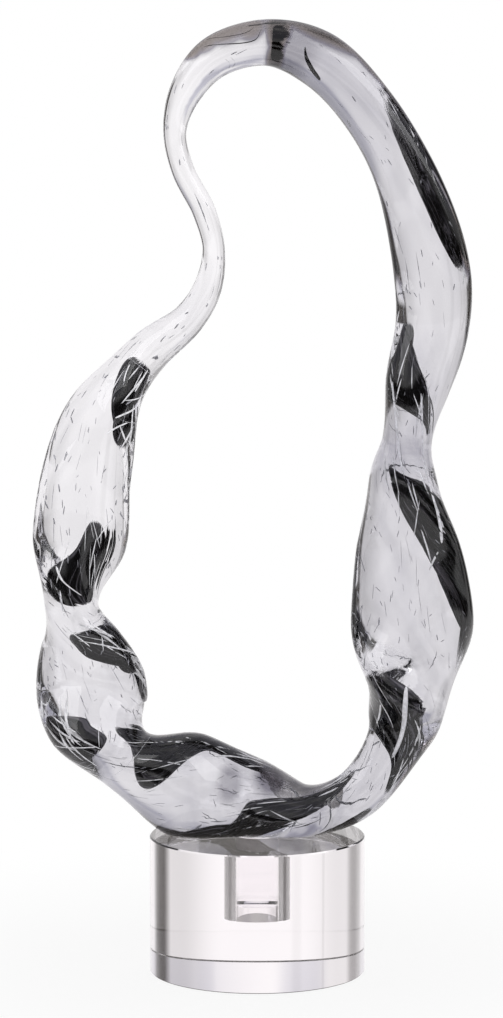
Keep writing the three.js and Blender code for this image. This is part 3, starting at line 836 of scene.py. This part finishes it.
class GLASSLOOP_OT_stage(bpy.types.Operator):
    """The floor, the light tent, the lamps and the camera"""
    bl_idname = "glassloop.stage"
    bl_label = "Stage"

    AIR = 0.3 * MM  # between the floor and the polished underside of the base
    FLOOR_REACH = 1.5  # metres from the base to the edges of the floor
    SHADOW_REACH = 0.3  # metres from the middle of the base, where the floor is plain white

    # Dark strips of the tent: turn from the back sheet to the right, half width (degrees) and depth.
    STRIPS = (
        (56, 17, 1.0), (-58, 17, 0.6), (42, 30, 0.28), (-46, 30, 0.2), (-15, 3, 0.08), (-28, 1.5, 0.22),
    )

    # Lamps: name, place and width (metres), and share of the key lamp's power.
    LAMPS = (
        ("key_lamp", (-1.0, -1.4, 1.5), 1.3, 1.0),
        ("fill_lamp", (1.2, -1.0, 1.2), 1.0, 0.7),
    )
    AIM = Vector((0, 0, 0.25))  # where the lamps point

    def seen_by_eye_or_glass(self, tree):
        """Two sockets: 1 for rays from the camera, and 1 for those that glass and gloss send on."""
        path = add_node(tree, "LightPath")
        glassy = add_node(tree, "Math", {"operation": "MAXIMUM"}, {
            0: path.outputs["Is Glossy Ray"], 1: path.outputs["Is Transmission Ray"]})
        return path.outputs["Is Camera Ray"], glassy.outputs[0]

    def floor(self, settings):
        bm = bmesh.new()
        lowered = Matrix.Translation((0, 0, -self.AIR))
        bmesh.ops.create_grid(bm, x_segments=1, y_segments=1, size=self.FLOOR_REACH, matrix=lowered)
        # Matt white paper. It keeps the shadow near the base and is plain white further out.
        material, tree, shader = new_material("paper_floor", {
            "Base Color": (*settings.floor_tint, 1), "Roughness": 0.9})
        place = add_node(tree, "TexCoord").outputs["Object"]
        away = add_node(tree, "VectorMath", {"operation": "LENGTH"}, {0: place}).outputs["Value"]
        rim = size("crystal_base", 0) / 2
        fade = add_node(tree, "MapRange", {
            "interpolation_type": "SMOOTHSTEP", "From Min": rim, "From Max": self.SHADOW_REACH,
            "To Min": 0.85, "To Max": 1}, {"Value": away})
        eye, glassy = self.seen_by_eye_or_glass(tree)
        share = add_node(tree, "Math", {"operation": "MULTIPLY"}, {0: eye, 1: fade})
        white = add_node(tree, "Emission")
        paper = add_node(tree, "MixShader", None, {0: share, 1: shader, 2: white})
        # Glass shows the tent's own white sweep in place of this sheet, but for the shade under the base.
        through = add_node(tree, "BsdfTransparent")
        shade = add_node(tree, "Emission", {"Color": (*settings.shade_tint, 1)})
        under = add_node(tree, "MapRange", {
            "interpolation_type": "SMOOTHSTEP", "From Min": rim + MM, "From Max": rim - MM}, {"Value": away})
        sweep = add_node(tree, "MixShader", None, {0: under, 1: through, 2: shade})
        mix = add_node(tree, "MixShader", None, {0: glassy, 1: paper, 2: sweep})
        tree.links.new(mix.outputs[0], tree.nodes["Material Output"].inputs["Surface"])
        finish_piece(bm, "floor", material, None)

    def tent(self, settings):
        """A white tent for the eye. Glass sees its soft panels and the dark seams between them."""
        world = bpy.data.worlds.new("light_tent")
        bpy.context.scene.world = world
        world.use_nodes = True
        tree = world.node_tree
        tree.nodes.clear()
        gaze = add_node(tree, "TexCoord").outputs["Generated"]
        axes = add_node(tree, "SeparateXYZ", None, {0: gaze})
        across, back, up = (axes.outputs[axis] for axis in "XYZ")
        # Dark strips stand between the panels, the room in front is dark above the table, and a black card
        # lies on the table there, for reflections alone. High up the panels are duller, to the right and in
        # patches.
        turn = add_node(tree, "Math", {"operation": "ARCTAN2"}, {0: across, 1: back})
        strips = None
        for middle, width, depth in self.STRIPS:
            off = add_node(tree, "Math", {"operation": "SUBTRACT", 1: math.radians(middle)}, {0: turn})
            gap = add_node(tree, "Math", {"operation": "ABSOLUTE"}, {0: off})
            strip = add_node(tree, "MapRange", {
                "interpolation_type": "SMOOTHSTEP", "From Min": math.radians(width),
                "From Max": math.radians(width) / 4, "To Max": depth}, {"Value": gap})
            strips = add_node(tree, "Math", {"operation": "MAXIMUM"}, {
                0: strip, 1: strips}) if strips else strip
        clouds = add_node(tree, "TexNoise", {"Scale": 2.4, "Detail": 1}, {"Vector": gaze})
        path = add_node(tree, "LightPath")
        shares = {"strips": strips}
        # Soft edges: name, what is looked at, and where the edge starts and ends.
        for name, value, low, high in (
            ("over_sweep", up, -0.30, -0.22),
            ("front", back, 0.15, -0.05),
            ("over_table", up, -0.17, -0.10),
            ("under_lamps", up, 0.2, 0.1),
            ("card_near", up, -0.5, -0.42),
            ("card_far", up, -0.24, -0.28),
            ("right", across, -0.1, 0.6),
            ("patch", clouds, 0.42, 0.62),
            ("high", up, 0.14, 0.3),
        ):
            shares[name] = add_node(tree, "MapRange", {
                "interpolation_type": "SMOOTHSTEP", "From Min": low, "From Max": high}, {"Value": value})
        shares["mirrored"] = add_node(tree, "Math", {"operation": "SUBTRACT", 0: 1}, {
            1: path.outputs["Is Transmission Ray"]})
        for name, kind, first, second in (
            ("seam", "MULTIPLY", "strips", "over_sweep"),
            ("level", "MULTIPLY", "over_table", "under_lamps"),
            ("card", "MULTIPLY", "card_near", "card_far"),
            ("mirrored_card", "MULTIPLY", "card", "mirrored"),
            ("ahead", "MAXIMUM", "level", "mirrored_card"),
            ("room", "MULTIPLY", "front", "ahead"),
            ("dark", "MAXIMUM", "seam", "room"),
            ("patches", "MAXIMUM", "right", "patch"),
            ("dull", "MULTIPLY", "patches", "high"),
        ):
            shares[name] = add_node(tree, "Math", {"operation": kind}, {0: shares[first], 1: shares[second]})
        soft = add_node(tree, "Mix", {
            "data_type": "RGBA", MIX_A: (*settings.tent_tint, 1), MIX_B: (*settings.dusk_tint, 1)}, {
            0: shares["dull"]})
        shade = add_node(tree, "Mix", {"data_type": "RGBA", MIX_B: (*settings.seam_tint, 1)}, {
            0: shares["dark"], MIX_A: soft.outputs[MIXED]})
        panels = add_node(tree, "Background", None, {"Color": shade.outputs[MIXED]})
        plain = add_node(tree, "Background", {"Color": (1, 1, 1, 1)})
        ambient = add_node(tree, "Background", {"Color": (1, 1, 1, 1), "Strength": 0.6})
        eye, glassy = self.seen_by_eye_or_glass(tree)
        lit = add_node(tree, "MixShader", None, {0: glassy, 1: ambient, 2: panels})
        shown = add_node(tree, "MixShader", None, {0: eye, 1: lit, 2: plain})
        add_node(tree, "OutputWorld", None, {"Surface": shown})

    def lamps(self, settings):
        for name, spot, width, share in self.LAMPS:
            light = bpy.data.lights.new(name, "AREA")
            light.size = width
            light.energy = settings.lamp_power * share
            lamp = bpy.data.objects.new(name, light)
            lamp.location = spot
            lamp.rotation_euler = (self.AIM - lamp.location).to_track_quat("-Z", "Y").to_euler()
            bpy.context.scene.collection.objects.link(lamp)

    def camera(self):
        """The photo's camera: solved from the rims of the base, for a frame of 503 by 1018."""
        camera = bpy.data.objects.new("camera", bpy.data.cameras.new("camera"))
        camera.location = (-0.00266, -2.0, 0.4704)
        camera.rotation_euler = (math.radians(90 - 7.23), 0, 0)
        camera.data.lens = 154.59
        bpy.context.scene.collection.objects.link(camera)
        bpy.context.scene.camera = camera

    def execute(self, context):
        settings = context.scene.glass_stage
        self.floor(settings)
        self.tent(settings)
        self.lamps(settings)
        self.camera()
        context.scene.view_settings.view_transform = "Standard"
        return {"FINISHED"}


class GLASSLOOP_PT_panel(bpy.types.Panel):
    """Lists the settings and the pieces"""
    bl_idname = "GLASSLOOP_PT_panel"
    bl_label = "Glass Loop"
    bl_space_type = "VIEW_3D"
    bl_region_type = "UI"
    bl_category = "Glass Loop"

    def draw(self, context):
        for name in GROUPS:
            group, box = getattr(context.scene, name), self.layout.box()
            for key in group.bl_rna.properties.keys():
                if key not in {"rna_type", "name"}:
                    box.prop(group, key)
        for operator in OPERATORS:
            self.layout.operator(operator.bl_idname)


GROUPS = {"glass_loop": LoopSettings, "glass_base": BaseSettings, "glass_stage": StageSettings}
OPERATORS = (
    GLASSLOOP_OT_clear_loop,
    GLASSLOOP_OT_black_streaks,
    GLASSLOOP_OT_black_hairs,
    GLASSLOOP_OT_seed_bubbles,
    GLASSLOOP_OT_air_threads,
    GLASSLOOP_OT_crystal_base,
    GLASSLOOP_OT_clear_peg,
    GLASSLOOP_OT_stage,
)


def register():
    for kind in (*GROUPS.values(), *OPERATORS, GLASSLOOP_PT_panel):
        bpy.utils.register_class(kind)
    for key, kind in GROUPS.items():
        setattr(bpy.types.Scene, key, PointerProperty(type=kind))


def unregister():
    for key in GROUPS:
        delattr(bpy.types.Scene, key)
    for kind in (GLASSLOOP_PT_panel, *reversed(OPERATORS), *GROUPS.values()):
        bpy.utils.unregister_class(kind)


def main():
    register()
    bpy.ops.glassloop.clear_loop()
    bpy.ops.glassloop.black_streaks()
    bpy.ops.glassloop.black_hairs()
    bpy.ops.glassloop.seed_bubbles()
    bpy.ops.glassloop.air_threads()
    bpy.ops.glassloop.crystal_base()
    bpy.ops.glassloop.clear_peg()
    bpy.ops.glassloop.stage()


if __name__ == "__main__":
    main()
